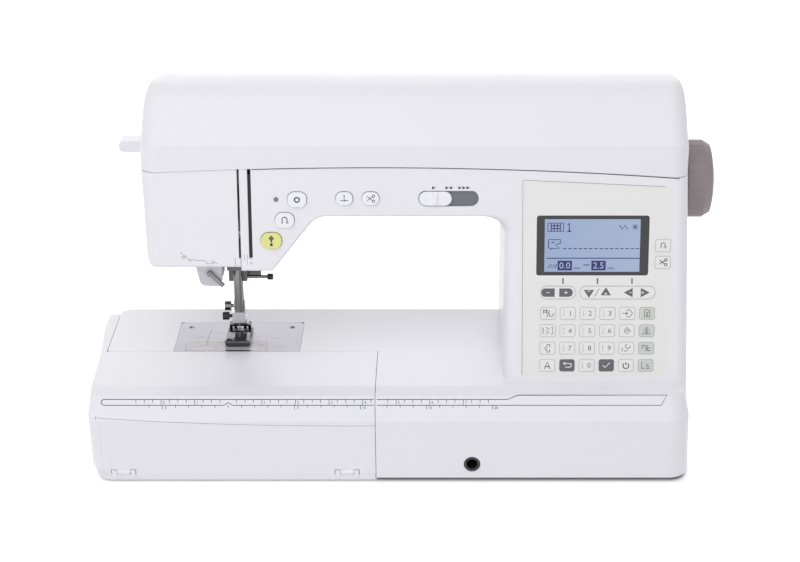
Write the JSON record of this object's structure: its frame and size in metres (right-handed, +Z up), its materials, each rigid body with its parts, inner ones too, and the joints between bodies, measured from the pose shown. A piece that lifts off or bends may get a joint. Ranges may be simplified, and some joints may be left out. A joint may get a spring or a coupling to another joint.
{
  "type": "sewing machine",
  "caption": "White computerised domestic sewing machine with free arm, display panel, lid and slide-off bed.",
  "frame": {"origin": "centre of the bounding box in X and Y, on the table plane under the rubber feet", "axes": "+X along the arm to the handwheel, +Y from the user to the back, +Z up"},
  "size_m": [0.4845, 0.168, 0.294],
  "materials": {
    "shell_white": "satin",
    "panel_grey": "satin",
    "wheel_grey": "matte",
    "steel": "brushed",
    "bright": "polished",
    "black": "matte",
    "screen": "gloss",
    "bezel": "satin",
    "green": "gloss",
    "key_grey": "satin",
    "cast": "cast",
    "rubber": "matte",
    "clear": "clear"
  },
  "bodies": {
    "machine": {"base_pan": "black", "rubber_feet": "rubber", "front_cover": "shell_white", "rear_cover": "shell_white", "face_cover": "shell_white", "deck": "shell_white", "free_arm": "shell_white", "needle_plate": "steel", "bobbin_cover": "clear", "panel_film": "panel_grey", "screen_frame": "bezel", "screen_glass": "screen", "speed_track": "key_grey", "indicator_lamp": "green", "knee_socket": "black", "inner_frame": "cast", "drive_belt": "rubber", "timing_belt": "rubber", "motor": "steel", "bobbin_case": "black", "bobbin": "clear", "bar_frame": "cast", "thread_guide": "bright", "threader_housing": "shell_white", "spool_pin": "shell_white", "socket_panel": "black"},
    "lid": {"lid": "shell_white"},
    "bed": {"bed_attachment": "shell_white"},
    "flap": {"tray_flap": "shell_white"},
    "wheel": {"handwheel": "wheel_grey", "main_shaft": "steel", "crank": "steel", "shaft_pulley": "steel"},
    "motor_rotor": {"motor_pulley": "steel"},
    "lower": {"lower_shaft": "steel"},
    "hook_cup": {"hook": "steel"},
    "needle_unit": {"needle_bar": "bright", "bar_link": "steel", "needle_clamp": "bright", "clamp_screw": "black", "needle": "bright"},
    "presser_unit": {"presser_bar": "bright", "foot_holder": "bright", "holder_screw": "bright"},
    "foot": {"presser_foot": "bright"},
    "presser_handle": {"presser_lever": "black"},
    "take_up": {"take_up_lever": "bright"},
    "threader": {"threader_lever": "shell_white"},
    "feed": {"feed_dog": "steel"},
    "feed_slide": {"feed_lever": "key_grey"},
    "cap": {"spool_cap": "clear"},
    "winder": {"winder_spindle": "key_grey"},
    "dial": {"tension_dial": "key_grey"},
    "switch": {"power_switch": "key_grey"},
    "speed": {"speed_knob": "shell_white"},
    "reinforce": {"reinforce_button": "shell_white"},
    "reverse": {"reverse_button": "shell_white"},
    "start": {"start_button": "green"},
    "needle_key": {"needle_button": "shell_white"},
    "cutter": {"cutter_button": "shell_white"}
  },
  "joints": [
    {"name": "lid_hinge", "type": "hinge", "parent": "machine", "child": "lid", "pos_m": [0, 0.079, 0.25], "axis": [-1, 0, 0], "range_deg": [0, 85]},
    {"name": "bed_slide", "type": "slide", "parent": "machine", "child": "bed", "axis": [-1, 0, 0], "range_m": [0, 0.235]},
    {"name": "flap_hinge", "type": "hinge", "parent": "bed", "child": "flap", "pos_m": [-0.12, -0.0786, 0.0082], "axis": [1, 0, 0], "range_deg": [0, 80]},
    {"name": "wheel_spin", "type": "hinge", "parent": "machine", "child": "wheel", "pos_m": [0.228, 0.023, 0.211], "axis": [1, 0, 0], "continuous": true},
    {"name": "motor_spin", "type": "hinge", "parent": "machine", "child": "motor_rotor", "pos_m": [0.19, -0.011, 0.122], "axis": [1, 0, 0], "continuous": true},
    {"name": "lower_spin", "type": "hinge", "parent": "machine", "child": "lower", "pos_m": [0, 0.039, 0.038], "axis": [1, 0, 0], "continuous": true},
    {"name": "hook_spin", "type": "hinge", "parent": "machine", "child": "hook_cup", "pos_m": [-0.1385, 0.014, 0.06], "axis": [0, 0, 1], "continuous": true},
    {"name": "needle_stroke", "type": "slide", "parent": "machine", "child": "needle_unit", "axis": [0, 0, 1], "range_m": [0, 0.032]},
    {"name": "presser_lever_hinge", "type": "hinge", "parent": "machine", "child": "presser_handle", "pos_m": [-0.117, 0.056, 0.186], "axis": [1, 0, 0], "range_deg": [0, 70]},
    {"name": "presser_lift", "type": "slide", "parent": "machine", "child": "presser_unit", "axis": [0, 0, 1], "range_m": [0, 0.0065]},
    {"name": "foot_tilt", "type": "hinge", "parent": "presser_unit", "child": "foot", "pos_m": [-0.1295, 0.032, 0.082], "axis": [-1, 0, 0], "range_deg": [0, 8]},
    {"name": "take_up_swing", "type": "hinge", "parent": "machine", "child": "take_up", "pos_m": [-0.1192, -0.004, 0.214], "axis": [-1, 0, 0], "range_deg": [0, 40]},
    {"name": "threader_slide", "type": "slide", "parent": "machine", "child": "threader", "axis": [0, 0, -1], "range_m": [0, 0.028]},
    {"name": "feed_lever_slide", "type": "slide", "parent": "machine", "child": "feed_slide", "axis": [1, 0, 0], "range_m": [0, 0.012]},
    {"name": "feed_drop", "type": "slide", "parent": "machine", "child": "feed", "axis": [0, 0, -1], "range_m": [0, 0.003]},
    {"name": "cap_slide", "type": "slide", "parent": "machine", "child": "cap", "axis": [1, 0, 0], "range_m": [0, 0.05]},
    {"name": "winder_shift", "type": "slide", "parent": "machine", "child": "winder", "axis": [1, 0, 0], "range_m": [0, 0.008]},
    {"name": "dial_turn", "type": "hinge", "parent": "machine", "child": "dial", "pos_m": [-0.08, -0.004, 0.2295], "axis": [1, 0, 0], "range_deg": [-150, 150]},
    {"name": "switch_rock", "type": "hinge", "parent": "machine", "child": "switch", "pos_m": [0.21512, 0.047, 0.042], "axis": [0, 1, 0], "range_deg": [0, 10]},
    {"name": "speed_slide", "type": "slide", "parent": "machine", "child": "speed", "axis": [1, 0, 0], "range_m": [0, 0.0195]},
    {"name": "reinforce_press", "type": "slide", "parent": "machine", "child": "reinforce", "axis": [0, 0.9932, -0.1167], "range_m": [0, 0.0012], "stiffness_N_per_m": 400},
    {"name": "reverse_press", "type": "slide", "parent": "machine", "child": "reverse", "axis": [0, 0.9932, -0.1167], "range_m": [0, 0.0012], "stiffness_N_per_m": 400},
    {"name": "start_press", "type": "slide", "parent": "machine", "child": "start", "axis": [0, 0.9932, -0.1167], "range_m": [0, 0.0012], "stiffness_N_per_m": 400},
    {"name": "needle_key_press", "type": "slide", "parent": "machine", "child": "needle_key", "axis": [0, 0.9932, -0.1167], "range_m": [0, 0.0012], "stiffness_N_per_m": 400},
    {"name": "cutter_press", "type": "slide", "parent": "machine", "child": "cutter", "axis": [0, 0.9932, -0.1167], "range_m": [0, 0.0012], "stiffness_N_per_m": 400}
  ],
  "couplings": [
    {"joint": "motor_spin", "follows": "wheel_spin", "ratio": 2.8333},
    {"joint": "lower_spin", "follows": "wheel_spin", "ratio": 1},
    {"joint": "hook_spin", "follows": "wheel_spin", "ratio": 2},
    {"joint": "presser_lever_hinge", "follows": "presser_lift", "rad_per_m": 187.96},
    {"joint": "feed_drop", "follows": "feed_lever_slide", "ratio": 0.25}
  ]
}
